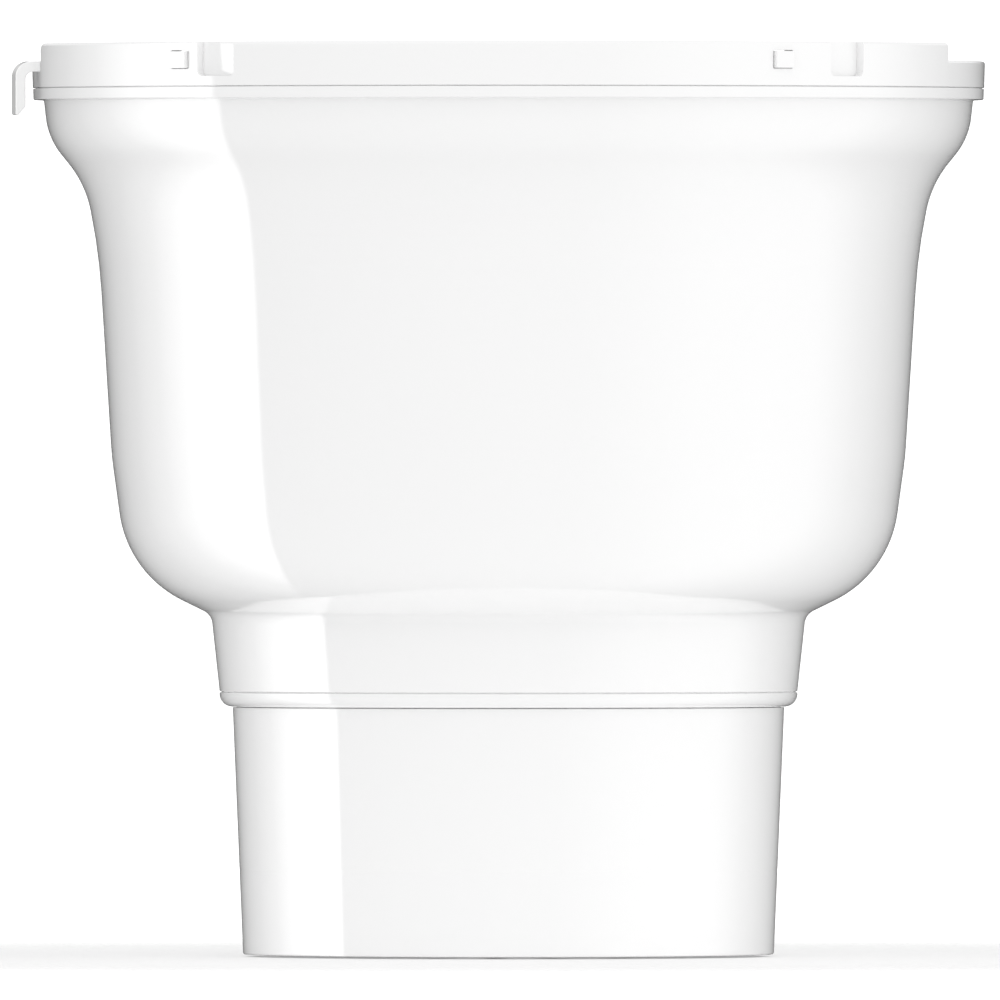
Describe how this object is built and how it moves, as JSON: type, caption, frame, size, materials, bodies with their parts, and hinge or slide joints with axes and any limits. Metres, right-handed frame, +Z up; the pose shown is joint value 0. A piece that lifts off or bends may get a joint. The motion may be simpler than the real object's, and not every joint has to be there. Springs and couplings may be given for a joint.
{
  "type": "sous vide circulator",
  "caption": "Bell-shaped immersion circulator: flanged control head with dial, small edge hook, sealed motor, heating rings, axial impeller in a draft tube, and a pull-off skirt with grille.",
  "frame": {"origin": "centre of the foot, on the skirt's lower face, on the axis of revolution", "axes": "+Z up along the axis of revolution, -Y is the front, where the display lies, and the edge hook is towards -X"},
  "size_m": [0.1353, 0.1334, 0.1274],
  "materials": {
    "shell_white": "high gloss, white",
    "grille_white": "gloss, white",
    "draft_plastic": "satin, grey",
    "dial_metal": "turned and anodised",
    "button_white": "satin, white",
    "window_glass": "polished, black",
    "lens_clear": "frosted",
    "display_grey": "dark grey",
    "rubber_black": "matt, black",
    "stainless": "brushed",
    "plated_steel": "zinc plated",
    "board_green": "solder-masked laminate",
    "black_plastic": "moulded, black",
    "connector_cream": "moulded, cream",
    "cable_grey": "insulation, grey",
    "cable_brown": "insulation, brown",
    "core_steel": "laminated, dark",
    "winding_copper": "enamelled copper",
    "transformer_yellow": "taped winding",
    "capacitor_sleeve": "sleeve, dark blue",
    "pin_brass": "bright",
    "bush_bronze": "sintered bronze"
  },
  "bodies": {
    "main_body": {"bell_housing": "shell_white", "control_ring": "shell_white", "pot_hook": "shell_white", "ring_gasket": "rubber_black", "ring_screws": "plated_steel", "top_deck": "shell_white", "display_window": "window_glass", "status_lens": "lens_clear", "display_module": "display_grey", "dial_encoder": "black_plastic", "button_switches": "black_plastic", "control_board": "board_green", "control_board_screws": "plated_steel", "buzzer": "black_plastic", "board_connectors": "connector_cream", "ribbon_cable": "cable_grey", "power_board": "board_green", "power_board_screws": "plated_steel", "transformer": "transformer_yellow", "capacitors": "capacitor_sleeve", "choke": "core_steel", "relay": "black_plastic", "fuse": "black_plastic", "terminal_block": "connector_cream", "power_inlet": "black_plastic", "inlet_pins": "pin_brass", "mains_leads": "cable_brown", "heater_leads": "cable_grey", "bulkhead_gasket": "rubber_black", "bulkhead_plate": "stainless", "bulkhead_screws": "plated_steel", "triac": "black_plastic", "thermal_cutoff": "plated_steel", "motor_isolators": "rubber_black", "motor_bracket": "plated_steel", "motor_can": "plated_steel", "motor_end_cap": "plated_steel", "motor_bearings": "plated_steel", "stator": "core_steel", "stator_windings": "winding_copper", "shaft_seal": "rubber_black", "draft_tube": "draft_plastic", "draft_tube_screws": "plated_steel", "lower_bush": "bush_bronze", "outer_heater": "stainless", "inner_heater": "stainless", "heater_bushings": "black_plastic", "temperature_probe": "stainless", "level_electrodes": "stainless"},
    "dial_body": {"dial": "dial_metal"},
    "timer_button_body": {"timer_button": "button_white"},
    "start_button_body": {"start_button": "button_white"},
    "rotor_body": {"rotor": "core_steel", "motor_shaft": "stainless", "shaft_coupling": "bush_bronze", "drive_shaft": "stainless", "impeller": "draft_plastic"},
    "skirt_body": {"skirt": "shell_white", "skirt_o_ring": "rubber_black", "bottom_grille": "grille_white"}
  },
  "joints": [
    {"name": "dial_turn", "type": "hinge", "parent": "main_body", "child": "dial_body", "pos_m": [0, 0.008, 0.125], "axis": [0, 0, 1], "continuous": true},
    {"name": "timer_press", "type": "slide", "parent": "main_body", "child": "timer_button_body", "axis": [0, 0, -1], "range_m": [0, 0.001], "stiffness_N_per_m": 200, "springref_m": -0.001},
    {"name": "start_press", "type": "slide", "parent": "main_body", "child": "start_button_body", "axis": [0, 0, -1], "range_m": [0, 0.001], "stiffness_N_per_m": 200, "springref_m": -0.001},
    {"name": "impeller_spin", "type": "hinge", "parent": "main_body", "child": "rotor_body", "pos_m": [0, 0, 0.06], "axis": [0, 0, 1], "continuous": true},
    {"name": "skirt_pull", "type": "slide", "parent": "main_body", "child": "skirt_body", "axis": [0, 0, -1], "range_m": [0, 0.045]}
  ]
}
